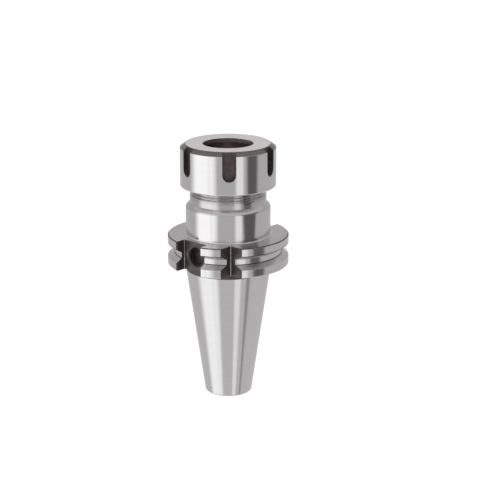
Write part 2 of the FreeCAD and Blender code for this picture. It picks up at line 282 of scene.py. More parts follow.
@dataclass(frozen=True)
class ScrewThread:
    """A 60 degree right-hand thread between two heights, in millimetres.

    Its phase is z/pitch - angle/turn.  The profile is flat at the crest, a flank on each side
    and flat at the root; a lead-in lets the groove fade over part of a turn.
    """

    low: float
    high: float
    crest: float
    root: float
    crest_half: float
    root_half: float
    origin: float
    pitch: float = 1.5
    fade_from: float | None = None
    fade_turns: float = 0.6

    def steps(self) -> np.ndarray:
        """Places of the rows within one pitch: crest, flanks and root."""
        flank_foot = 0.5 - self.root_half
        middle = (self.crest_half + flank_foot) / 2
        return np.array([0, self.crest_half, middle, flank_foot, 0.5, 1 - flank_foot, 1 - middle,
                         1 - self.crest_half])

    def radius(self, height: np.ndarray, angle: np.ndarray, turns: np.ndarray) -> np.ndarray:
        """Radius of the thread from its phase, with the groove faded at the lead-in.

        Args:
            height: heights of the points.
            angle: angles of the points.
            turns: turns along the thread, before the rows are cut off at its ends.

        Returns:
            The radii.
        """
        phase = ((height - self.origin) / self.pitch - angle / TURN) % 1.0
        depth = np.interp(phase, [0, self.crest_half, 0.5 - self.root_half, 0.5 + self.root_half,
                                  1 - self.crest_half, 1], [0, 0, 1, 1, 0, 0])
        if self.fade_from is not None:
            start = (self.fade_from - self.origin) / self.pitch
            depth = depth * np.clip((turns - start) / self.fade_turns, 0, 1)
        return self.crest + (self.root - self.crest) * depth

    def grid(self, limit: np.ndarray, outside: bool) -> tuple[np.ndarray, int]:
        """Points of the thread; its rows climb one pitch a turn and are cut flat at both ends.

        Height is origin + pitch * (row place + angle/turn), held between low and high.

        Args:
            limit: rows of (height, radius) of the turned form that also bounds the thread.
            outside: whether the thread stands outside (a screw) or inside (a nut).

        Returns:
            The grid of points in metres and the rows in one turn.
        """
        steps = self.steps()
        first = math.floor((self.low - self.origin) / self.pitch) - 1
        last = math.ceil((self.high - self.origin) / self.pitch) + 1
        places = (np.arange(first, last)[:, None] + steps[None, :]).reshape(-1)
        angle = np.linspace(0, TURN, COLUMNS, endpoint=False)
        turns = places[:, None] + angle[None, :] / TURN
        height = np.clip(self.origin + self.pitch * turns, self.low, self.high)
        radius = self.radius(height, np.broadcast_to(angle, height.shape), turns)
        bound = np.interp(height, limit[:, 0], limit[:, 1])
        radius = np.minimum(radius, bound) if outside else np.maximum(radius, bound)
        points = np.stack([radius * np.cos(angle), radius * np.sin(angle), height], -1) * MM
        return points, len(steps)


# Cutters


@dataclass(frozen=True)
class Cutter:
    """A prism that takes metal away, in millimetres, with its mouth flared to break the edges.

    outline runs anticlockwise in the plane of across and up; levels are (distance along the
    third axis, outward offset of the outline); flare says which sides move with the offset.
    Sides are blackened, but own_sides take the pale edge finish along their whole length, and mouth
    is the finish between the last two levels.
    """

    outline: np.ndarray
    levels: tuple[tuple[float, float], ...]
    flare: np.ndarray
    own_sides: tuple[int, ...] = ()
    mouth: Finish = Finish.BLACKENED

    def offset_outline(self, offset: float) -> np.ndarray:
        """Outline with its flared sides moved out: each corner meets both moved sides again."""
        edge = np.roll(self.outline, -1, axis=0) - self.outline
        normal = np.stack([edge[:, 1], -edge[:, 0]], 1) / np.linalg.norm(edge, axis=1)[:, None]
        before, after = np.roll(normal, 1, axis=0), normal
        moves = np.stack([np.roll(self.flare, 1), self.flare], 1) * offset
        shift = np.linalg.solve(np.stack([before, after], 1), moves[:, :, None])[:, :, 0]
        return self.outline + shift

    def placed(self, *axes: tuple[float, float, float]) -> tuple[np.ndarray, list, list]:
        """Points in metres, faces and finish numbers, for the axes across, up and along."""
        across, up, along = np.array(axes, dtype=float)
        rings = []
        for distance, offset in self.levels:
            flat = self.offset_outline(offset)
            rings.append(flat[:, :1] * across + flat[:, 1:] * up + distance * along)
        count = len(self.outline)
        numbers = np.arange(len(rings) * count).reshape(len(rings), count)
        wrapped = np.hstack([numbers, numbers[:, :1]])
        faces = quads_of(wrapped).tolist()
        faces += [numbers[0, ::-1].tolist(), numbers[-1].tolist()]
        table = np.full((len(rings) - 1, count), Finish.BLACKENED.value)
        table[-1] = self.mouth.value
        table[:, list(self.own_sides)] = Finish.PALE_EDGE.value
        marks = table.reshape(-1).tolist() + [Finish.BLACKENED.value] * 2
        return np.vstack(rings) * MM, faces, marks


def join_cutters(name: str, parts: list[tuple[np.ndarray, list, list]]) -> Piece:
    """One object from several placed cutters that don't touch each other."""
    points, faces, marks, count = [], [], [], 0
    for part_points, part_faces, part_marks in parts:
        points.append(part_points)
        faces += [[number + count for number in face] for face in part_faces]
        marks += part_marks
        count += len(part_points)
    mesh = mesh_from_arrays(name, np.vstack(points), faces, np.array(marks))
    tidy = bmesh.new()
    tidy.from_mesh(mesh)
    bmesh.ops.recalc_face_normals(tidy, faces=tidy.faces)
    tidy.to_mesh(mesh)
    tidy.free()
    return new_object(name, mesh)


def mill(piece: Piece, cutter: Piece) -> None:
    """Takes the cutter's form out of the piece and removes the cutter."""
    for material in piece.data.materials:
        cutter.data.materials.append(material)
    cut = piece.modifiers.new("milled", "BOOLEAN")
    cut.operation = "DIFFERENCE"
    cut.solver = "EXACT"
    cut.material_mode = "INDEX"
    cut.object = cutter
    graph = bpy.context.evaluated_depsgraph_get()
    milled = bpy.data.meshes.new_from_object(piece.evaluated_get(graph))
    piece.modifiers.clear()
    before = piece.data
    piece.data = milled
    milled.name = piece.name
    bpy.data.meshes.remove(before)
    bpy.data.objects.remove(cutter)


def smooth_faces(piece: Piece) -> None:
    """Shades the piece smooth, with every edge sharper than the limit left as an edge."""
    mesh = piece.data
    mesh.polygons.foreach_set("use_smooth", np.ones(len(mesh.polygons), dtype=bool))
    mesh.set_sharp_from_angle(angle=SHARP_ANGLE)
    mesh.update()


# Shader bench


@dataclass
class Bench:
    """A node tree with short ways to add and link nodes."""

    tree: NodeTree

    def feed(self, node: Node, inputs: dict) -> Node:
        """Sets a node's sockets to their own values, or links other sockets in."""
        for name, value in inputs.items():
            if isinstance(value, Socket):
                self.tree.links.new(value, node.inputs[name])
            else:
                node.inputs[name].default_value = value
        return node

    def add(self, kind: str, inputs: dict | None = None, **settings: object) -> Node:
        """Adds a node with its properties and its inputs."""
        node = self.tree.nodes.new(kind)
        for name, value in settings.items():
            setattr(node, name, value)
        return self.feed(node, inputs or {})

    def math(self, operation: str, first: object, second: object = 0.0,
             third: object = 0.0) -> Socket:
        """A Math node's result."""
        return self.add("ShaderNodeMath", {0: first, 1: second, 2: third},
                        operation=operation).outputs[0]

    def ramp(self, value: object, start: object, end: object, low: float = 0.0,
             high: float = 1.0, kind: str = "LINEAR") -> Socket:
        """Carries value from low at start to high at end, along a line or a smooth step."""
        return self.add("ShaderNodeMapRange", {"Value": value, "From Min": start, "From Max": end,
                                               "To Min": low, "To Max": high},
                        interpolation_type=kind).outputs["Result"]

    def level(self, share: object, first: object, second: object) -> Socket:
        """A number between first and second."""
        return self.add("ShaderNodeMix", {"Factor": share, "A": first, "B": second},
                        data_type="FLOAT").outputs["Result"]

    def blend(self, share: object, first: tuple[float, float, float],
              second: tuple[float, float, float]) -> Socket:
        """A colour between first and second."""
        return self.add("ShaderNodeMix", {"A": (*first, 1), "B": (*second, 1), "Factor": share},
                        data_type="RGBA").outputs["Result"]

    def noise(self, place: object, scale: object, **inputs: float) -> Socket:
        """A noise over a place; further inputs are given by name in lower case."""
        named = {name.capitalize(): value for name, value in inputs.items()}
        return self.add("ShaderNodeTexNoise", {"Vector": place, "Scale": scale,
                                               **named}).outputs["Fac"]

    def by_ray(self, ray: str, other: object, chosen: object) -> Socket:
        """One shader for the chosen kind of ray and another for all other rays."""
        path = self.add("ShaderNodeLightPath")
        return self.add("ShaderNodeMixShader", {0: path.outputs[ray], 1: other,
                                                2: chosen}).outputs[0]

    def group(self, tree: NodeTree, inputs: dict) -> Node:
        """Places a node group with its inputs."""
        return self.add("ShaderNodeGroup", inputs, node_tree=tree)


def new_group(name: str, inputs: dict[str, float], outputs: tuple[str, ...],
              ) -> tuple[Bench, Node, Node]:
    """A shader node group with float inputs and outputs, as its bench and its two end nodes."""
    tree = bpy.data.node_groups.new(name, "ShaderNodeTree")
    for label, value in inputs.items():
        socket = tree.interface.new_socket(label, in_out="INPUT", socket_type="NodeSocketFloat")
        socket.default_value = value
    for label in outputs:
        tree.interface.new_socket(label, in_out="OUTPUT", socket_type="NodeSocketFloat")
    start, end = tree.nodes.new("NodeGroupInput"), tree.nodes.new("NodeGroupOutput")
    return Bench(tree), start, end


def lathe_marks_group() -> NodeTree:
    """Rings left by turning and grinding: noise over (x*a, y*a, (z + radius)*k).

    On a wall it changes with height and on a face with the radius, and only slowly round the
    axis.  Marks are fine rings; Bands are the same rings taken coarser; Cloud is uneven metal.
    """
    bench, start, end = new_group("lathe marks", {"Rings": 4000.0, "Around": 25.0, "Cloud": 90.0},
                                  ("Marks", "Bands", "Cloud"))
    place = bench.add("ShaderNodeTexCoord")
    parts = bench.add("ShaderNodeSeparateXYZ", {0: place.outputs["Object"]})
    square_x = bench.math("MULTIPLY", parts.outputs["X"], parts.outputs["X"])
    square = bench.math("MULTIPLY_ADD", parts.outputs["Y"], parts.outputs["Y"], square_x)
    radius = bench.math("SQRT", square)
    travel = bench.math("ADD", parts.outputs["Z"], radius)
    around = start.outputs["Around"]
    across = bench.math("MULTIPLY", parts.outputs["X"], around)
    deep = bench.math("MULTIPLY", parts.outputs["Y"], around)
    for label, share in (("Marks", 1.0), ("Bands", COARSE_RINGS)):
        rings = bench.math("MULTIPLY", start.outputs["Rings"], share)
        up = bench.math("MULTIPLY", travel, rings)
        spot = bench.add("ShaderNodeCombineXYZ", {0: across, 1: deep, 2: up})
        bench.feed(end, {label: bench.noise(spot.outputs[0], 1.0, detail=3.0, roughness=0.6)})
    bench.feed(end, {"Cloud": bench.noise(place.outputs["Object"], start.outputs["Cloud"],
                                          detail=4.0, roughness=0.55)})
    return bench.tree


def thin_coat_group() -> NodeTree:
    """Where a blackening coat is thin: two noises of different size, pressed to a mask."""
    bench, start, end = new_group("thin coat", {"Scale": 300.0, "Amount": 0.3},
                                  ("Mask", "Grain"))
    place = bench.add("ShaderNodeTexCoord")
    scale = start.outputs["Scale"]
    broad = bench.noise(place.outputs["Object"], scale, detail=5.0, roughness=0.65)
    fine = bench.noise(place.outputs["Object"], bench.math("MULTIPLY", scale, GRAIN_FINENESS),
                       detail=2.0)
    both = bench.math("MULTIPLY_ADD", fine, GRAIN_SHARE, broad)
    raised = bench.math("SUBTRACT", both, bench.math("SUBTRACT", 1.0, start.outputs["Amount"]))
    pressed = bench.add("ShaderNodeMath", {0: raised, 1: COAT_CONTRAST}, operation="MULTIPLY",
                        use_clamp=True)
    bench.feed(end, {"Mask": pressed.outputs[0], "Grain": fine})
    return bench.tree


@dataclass
class ShaderGroups:
    """The node groups that several materials share, each built once."""

    lathe_marks: NodeTree = field(default_factory=lathe_marks_group)
    thin_coat: NodeTree = field(default_factory=thin_coat_group)


def new_material(label: str) -> tuple[bpy.types.Material, Bench]:
    """A material with its node tree on a bench."""
    material = bpy.data.materials.new(label)
    material.use_nodes = True
    return material, Bench(material.node_tree)


def steel_surface(bench: Bench, colour: Socket, gloss: Socket,
                  roughness: tuple[float, float], bump: float,
                  marks: Node) -> Node:
    """Gives the shader its colour, a roughness between two values and the fine rings as bump.

    Args:
        bench: the material's bench.
        colour: the base colour.
        gloss: a noise around a half that the roughness follows.
        roughness: least and greatest roughness.
        bump: strength of the rings.
        marks: the placed group of lathe marks.

    Returns:
        The shader.
    """
    rough = bench.ramp(gloss, NOISE_LOW, NOISE_HIGH, *roughness)
    raised = bench.add("ShaderNodeBump", {"Strength": bump, "Distance": RING_HEIGHT,
                                          "Height": marks.outputs["Marks"]})
    return bench.feed(bench.tree.nodes["Principled BSDF"],
                      {"Base Color": colour, "Roughness": rough,
                       "Normal": raised.outputs["Normal"]})


@dataclass(frozen=True)
class BrightSteel:
    """Bare hardened steel, ground or turned, with rings from the wheel or the tool."""

    label: str
    dark: tuple[float, float, float] = (0.625, 0.617, 0.622)
    light: tuple[float, float, float] = (0.655, 0.647, 0.652)
    roughness: tuple[float, float] = (0.13, 0.16)
    rings: float = 4000.0
    around: float = 12.0
    bump: float = 0.015
    anisotropy: float = 0.6

    def material(self, groups: ShaderGroups) -> bpy.types.Material:
        """Colour and roughness follow coarse rings and cloud; fine rings give the bump."""
        material, bench = new_material(self.label)
        marks = bench.group(groups.lathe_marks, {"Rings": self.rings, "Around": self.around,
                                                 "Cloud": 90.0})
        tone = bench.math("MULTIPLY_ADD", marks.outputs["Cloud"], 0.6, marks.outputs["Bands"])
        colour = bench.blend(bench.ramp(tone, 0.55, 1.05), self.dark, self.light)
        shader = steel_surface(bench, colour, marks.outputs["Bands"], self.roughness, self.bump,
                               marks)
        bench.feed(shader, {"Metallic": 1.0, "Anisotropic": self.anisotropy,
                            "Anisotropic Rotation": 0.25})
        return material


@dataclass(frozen=True)
class BlackenedAndShadedSteel:
    """Steel with a thin black oxide coat, brownish where it is thin; with light brown coat colours
    it paints the shade inside the bores and the ring.
    """

    label: str
    coat: tuple[float, float, float] = (0.058, 0.048, 0.047)
    thin: tuple[float, float, float] = (0.115, 0.098, 0.088)
    amount: float = 0.35
    roughness: tuple[float, float] = (0.28, 0.42)
    metallic: float = 0.5
    bump: float = 0.08

    def material(self, groups: ShaderGroups) -> bpy.types.Material:
        """The coat's colour gives way to the thin colour where the mask says."""
        material, bench = new_material(self.label)
        marks = bench.group(groups.lathe_marks, {"Rings": 2600.0, "Around": 40.0, "Cloud": 220.0})
        coat = bench.group(groups.thin_coat, {"Scale": 260.0, "Amount": self.amount})
        thin = bench.math("MULTIPLY_ADD", marks.outputs["Bands"], 0.5, coat.outputs["Mask"])
        colour = bench.blend(thin, self.coat, self.thin)
        shader = steel_surface(bench, colour, coat.outputs["Grain"], self.roughness, self.bump,
                               marks)
        bench.feed(shader, {"Metallic": self.metallic})
        return material


@dataclass(frozen=True)
class SteelSet:
    """One material for each finish, in the order of their numbers."""

    ground: BrightSteel
    turned: BrightSteel
    thread: BrightSteel
    blackened: BlackenedAndShadedSteel
    pale_edge: BrightSteel
    bore: BlackenedAndShadedSteel
    chamfer: BrightSteel

    def dress(self, piece: Piece, groups: ShaderGroups) -> None:
        """Puts the materials on the piece in the order that its faces' numbers expect."""
        for finish in (self.ground, self.turned, self.thread, self.blackened, self.pale_edge,
                       self.bore, self.chamfer):
            piece.data.materials.append(finish.material(groups))


# The holder body


@dataclass
class HolderBody:
    """Shank, flange, body and threaded neck, in millimetres from the small end."""

    node: str = "holder_body"
    body: str = "holder"
    slot: str = "holder_steel"
    small_end: float = 12.25
    end_chamfer: float = 0.7
    gauge_radius: float = 22.225
    gauge_height: float = 68.4
    flange_foot: float = 71.6
    flange_top: float = 87.5
    flange_radius: float = 31.775
    groove_height: float = 79.5
    groove_radius: float = 28.125
    groove_half: float = 1.43
    rim_half: float = 3.537
    body_radius: float = 22.2
    body_top: float = 102.2
    neck_radius: float = 20.0
    shoulder_height: float = 2.6
    thread_start: float = 107.2
    thread_fade: float = 108.15
    core_radius: float = 19.08
    nose: float = 125.5
    nose_radius: float = 18.08
    nose_trim: float = 0.3
    seat_mouth: float = 16.5
    seat_end: float = 11.72
    seat_foot: float = 91.5
    relief_radius: float = 12.22
    relief_foot: float = 86.5
    stop_radius: float = 10.19
    stop_foot: float = 66.0
    core_hole: float = 6.92
    drill_foot: float = 64.03
    pilot_radius: float = 8.5
    pilot_depth: float = 5.5
    pilot_chamfer: float = 0.8
    shallow_floor: float = 25.0
    deep_floor: float = 22.8
    slot_half: float = 8.05
    slot_break: float = 0.85
    notch_root: float = 25.84
    hole_radius: float = 5.0
    hole_depth: float = 4.6
    hole_chamfer: float = 0.5
    edge_break: float = 0.12
    corner_rest: float = 0.22

    def outside(self) -> list[Station]:
        """Corners of the outside, from the nose chamfer down the bores and up to the thread."""
        ground, turned, black, bore = (Finish.GROUND, Finish.TURNED, Finish.BLACKENED, Finish.BORE)
        top = self.nose
        return [
            Station(self.nose_radius + self.nose_trim, top - self.nose_trim, ground),
            Station(self.nose_radius, top, turned, 0.08),
            Station(self.seat_mouth + 0.5, top, ground, 0.08),
            Station(self.seat_mouth, top - 0.5, ground),
            Station(self.seat_end, self.seat_foot, bore),
            Station(self.relief_radius, self.seat_foot, bore),
            Station(self.relief_radius, self.relief_foot, bore),
            Station(self.stop_radius, self.relief_foot, bore),
            Station(self.stop_radius, self.stop_foot, bore),
            Station(self.core_hole, self.drill_foot, bore),
            Station(self.core_hole, self.pilot_depth, bore),
            Station(self.pilot_radius, self.pilot_depth, ground),
            Station(self.pilot_radius, self.pilot_chamfer, ground),
            Station(self.pilot_radius + self.pilot_chamfer, 0.0, turned, 0.08),
            Station(self.small_end - self.end_chamfer, 0.0, ground, 0.12),
            Station(self.small_end + self.end_chamfer * SHANK_SLOPE, self.end_chamfer, ground,
                    0.25),
            Station(self.gauge_radius, self.gauge_height, black, 0.1),
            Station(self.gauge_radius, self.flange_foot, black),
            Station(self.flange_radius - 0.5, self.flange_foot, ground, 0.15),
            Station(self.flange_radius, self.flange_foot + 0.5, ground, 0.15),
            Station(self.flange_radius, self.groove_height - self.rim_half, turned, 0.15),
            Station(self.groove_radius + 0.3, self.groove_height - self.groove_half - 0.17, black),
            Station(self.groove_radius, self.groove_height - self.groove_half + 0.2, ground),
            Station(self.groove_radius, self.groove_height + self.groove_half, turned, 0.12),
            Station(self.flange_radius - 0.05, self.groove_height + self.rim_half - 0.03, black),
            Station(self.flange_radius, self.groove_height + self.rim_half + 0.3, ground, 0.1),
            Station(self.flange_radius, self.flange_top - 0.5, black, 0.12),
            Station(self.flange_radius - 0.5, self.flange_top, turned, 0.15),
            *fillet(self.body_radius, self.flange_top, 0.5, ground),
            *rounded_shoulder(self.neck_radius, self.body_top, self.body_radius - self.neck_radius,
                              self.shoulder_height, turned),
            Station(self.neck_radius, self.thread_start, ground),
        ]

    def thread(self) -> ScrewThread:
        """The nut thread of the neck; its groove fades in above the plain neck."""
        return ScrewThread(low=self.thread_start, high=self.nose - self.nose_trim,
                           crest=self.neck_radius, root=self.core_radius,
                           crest_half=0.0625, root_half=0.0833, origin=0.0,
                           fade_from=self.thread_fade)

    def turned(self) -> Piece:
        """The turned form: the half section swept round, closed by the thread."""
        shell = Shell()
        section = half_section(self.outside())
        shell.add_grid(revolve(section), section.finishes)
        limit = np.array([[0, self.neck_radius], [self.nose - 1.92, self.neck_radius],
                          [self.nose, self.nose_radius]])
        points, per_turn = self.thread().grid(limit, outside=True)
        finishes = np.full(len(points), Finish.THREAD.value)
        shell.add_grid(points, finishes, seam_shift=per_turn)
        return shell.weld(self.node + "_dressed")

    def drive_slot(self, floor: float, side: float, break_floor: bool) -> tuple:
        """A drive slot: straight walls, flat floor, corners broken where the walls meet the rim."""
        corner = math.sqrt(self.flange_radius ** 2 - self.slot_half ** 2)
        mouth = corner - self.slot_break
        end = self.flange_radius + PAST_RIM
        half = self.slot_half + end - mouth
        root = self.corner_rest
        outline = np.array([[floor + root, -self.slot_half], [mouth, -self.slot_half],
                            [end, -half], [end, half], [mouth, self.slot_half],
                            [floor + root, self.slot_half], [floor, self.slot_half - root],
                            [floor, root - self.slot_half]])
        sunk = 1.0 if break_floor else 0.0
        flare = np.array([1, 1, 0, 1, 1, sunk, sunk, sunk])
        cutter = Cutter(outline, self.flange_levels(), flare, own_sides=(5, 7))
        return cutter.placed((side, 0, 0), (0, side, 0), (0, 0, 1))

    def flange_levels(self) -> tuple[tuple[float, float], ...]:
        """Heights and offsets of a cutter that passes through the flange and breaks its edges."""
        reach, flared = self.edge_break, self.edge_break + OVERRUN
        return ((self.flange_foot - OVERRUN, flared), (self.flange_foot + reach, 0.0),
                (self.flange_top - reach, 0.0), (self.flange_top + OVERRUN, flared))

    def notch(self) -> tuple:
        """The right-angled orientation notch, 45 degrees round from the shallow slot."""
        end = self.flange_radius + PAST_RIM
        root = self.corner_rest
        outline = np.array([[self.notch_root + root, -root], [end, self.notch_root - end],
                            [end, end - self.notch_root], [self.notch_root + root, root]])
        cutter = Cutter(outline, self.flange_levels(), np.array([1.0, 0, 1.0, 0]), own_sides=(3,))
        half = math.sqrt(0.5)
        return cutter.placed((-half, -half, 0), (half, -half, 0), (0, 0, 1))

    def carrier_hole(self) -> tuple:
        """The blind hole for a data carrier, with a chamfered mouth."""
        angle = np.linspace(0, TURN, 64, endpoint=False)
        outline = self.hole_radius * np.stack([np.cos(angle), np.sin(angle)], 1)
        outline = outline + np.array([0, self.groove_height])
        floor, mouth = self.shallow_floor - self.hole_depth, self.shallow_floor
        levels = ((floor, 0.0), (mouth - self.hole_chamfer, 0.0),
                  (mouth + HOLE_OVERRUN, self.hole_chamfer + HOLE_OVERRUN))
        cutter = Cutter(outline, levels, np.ones(len(outline)))
        return cutter.placed((0, 1, 0), (0, 0, 1), (-1, 0, 0))

    def build(self, finishes: SteelSet, groups: ShaderGroups) -> Piece:
        """Turns, mills and dresses the body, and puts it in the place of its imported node."""
        piece = self.turned()
        finishes.dress(piece, groups)
        slots = [self.drive_slot(self.shallow_floor, -1.0, True),
                 self.drive_slot(self.deep_floor, 1.0, False), self.notch()]
        mill(piece, join_cutters("flange_cutters", slots))
        mill(piece, join_cutters("hole_cutter", [self.carrier_hole()]))
        smooth_faces(piece)
        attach(piece, self.body)
        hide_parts(self.node)
        return piece


# The clamping nut


@dataclass
class ClampingNut:
    """The nut with its thread, ring groove, lip, mouth and wrench slots, in millimetres."""

    node: str = "clamping_nut"
    body: str = "nut"
    slot: str = "nut_steel"
    foot: float = 113.3
    face: float = 135.8
    radius: float = 25.0
    chamfer_width: float = 2.87
    chamfer_height: float = 2.1
    foot_chamfer: float = 0.6
    mouth_chamfer: float = 0.4
    mouth: float = 13.1
    lip_foot: float = 133.2
    ring_groove: float = 18.68
    groove_floor: float = 128.1
    snap_foot: float = 127.6
    snap_radius: float = 18.18
    relief: float = 20.1
    thread_top: float = 125.6
    bore: float = 19.18
    mouth_room: float = 0.08
    slot_half: float = 3.45
    slot_floor: float = 22.3
    slot_centre: float = 124.25
    slot_count: int = 6
    slot_pale_band: float = 0.38
    first_slot: float = 43.5

    def section(self) -> list[Station]:
        """Corners from the foot of the thread round the outside and down to the thread's top."""
        ground, turned, bore = Finish.GROUND, Finish.TURNED, Finish.BORE
        return [
            Station(self.relief + self.mouth_room, self.foot, turned),
            Station(self.radius - self.foot_chamfer, self.foot, turned, 0.15),
            Station(self.radius, self.foot + self.foot_chamfer, ground, 0.25),
            Station(self.radius, self.face - self.chamfer_height, Finish.CHAMFER, 0.2),
            Station(self.radius - self.chamfer_width, self.face, turned, 0.12),
            Station(self.mouth + self.mouth_chamfer, self.face, ground, 0.08),
            Station(self.mouth, self.face - self.mouth_chamfer, bore, 0.08),
            Station(self.mouth, self.lip_foot, bore),
            Station(self.ring_groove, self.lip_foot, bore),
            Station(self.ring_groove, self.groove_floor, bore),
            Station(self.snap_radius, self.groove_floor, bore),
            Station(self.snap_radius, self.snap_foot, bore),
            Station(self.relief, self.snap_foot, bore),
            Station(self.relief, self.thread_top, bore),
        ]

    def thread(self) -> ScrewThread:
        """The nut's thread; the ridge of the screw runs in its groove with room on each side."""
        return ScrewThread(low=self.foot, high=self.thread_top, crest=self.relief, root=self.bore,
                           crest_half=0.0565, root_half=0.0893, origin=0.0)

    def turned(self) -> Piece:
        """The turned form: the half section swept round, closed by the thread."""
        shell = Shell()
        section = half_section(self.section())
        shell.add_grid(revolve(section), section.finishes)
        limit = np.array([[self.foot, self.relief + self.mouth_room], [self.foot + 1.0, self.bore],
                          [self.face, self.bore]])
        points, per_turn = self.thread().grid(limit, outside=False)
        rim = points[-1].copy()
        rim[:, :2] *= (self.relief * MM / np.linalg.norm(rim[:, :2], axis=1))[:, None]
        shell.add_grid(points, np.full(len(points), Finish.THREAD.value), seam_shift=per_turn,
                       inward=True)
        lid = np.stack([rim, points[-1]])
        shell.add_grid(lid, np.array([Finish.BORE.value]))
        return shell.weld(self.node + "_dressed")

    def wrench_slots(self) -> list[tuple]:
        """Six slots with a flat floor and a round foot, cut in from the side."""
        angle = np.linspace(math.pi, TURN, 25)
        foot = np.stack([self.slot_half * np.cos(angle),
                         self.slot_centre + self.slot_half * np.sin(angle)], 1)
        top = self.face + PAST_RIM
        outline = np.vstack([foot, [[self.slot_half, top], [-self.slot_half, top]]])
        flare = np.ones(len(outline))
        levels = ((self.slot_floor, 0.0), (self.radius - self.slot_pale_band, 0.0),
                  (self.radius + PAST_RIM, 0.8))
        cutter = Cutter(outline, levels, flare, mouth=Finish.PALE_EDGE)
        turns = np.radians(self.first_slot) + np.arange(self.slot_count) * TURN / self.slot_count
        return [cutter.placed((-math.sin(a), math.cos(a), 0), (0, 0, 1),
                              (math.cos(a), math.sin(a), 0)) for a in turns]

    def build(self, finishes: SteelSet, groups: ShaderGroups) -> Piece:
        """Turns, mills and dresses the nut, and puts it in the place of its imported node."""
        piece = self.turned()
        finishes.dress(piece, groups)
        mill(piece, join_cutters("wrench_cutters", self.wrench_slots()))
        smooth_faces(piece)
        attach(piece, self.body)
        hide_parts(self.node)
        return piece


@dataclass
class ExtractionRing:
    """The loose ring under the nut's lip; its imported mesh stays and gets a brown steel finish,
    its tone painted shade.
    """

    node: str = "extraction_ring"

    def dress(self, nodes: dict[str, Piece], finish: BlackenedAndShadedSteel,
              groups: ShaderGroups) -> Piece:
        """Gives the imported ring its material."""
        ring = nodes[self.node]
        material = finish.material(groups)
        for slot in ring.material_slots:
            slot.material = material
        return ring


# Studio


@dataclass(frozen=True)
class Panel:
    """A soft upright panel of the studio, by its azimuth from the camera in degrees.

    taper is how much its half width grows for each unit of height on the sphere.
    """

    centre: float
    half_width: float
    edge: float
    strength: float
    taper: float = 0.0


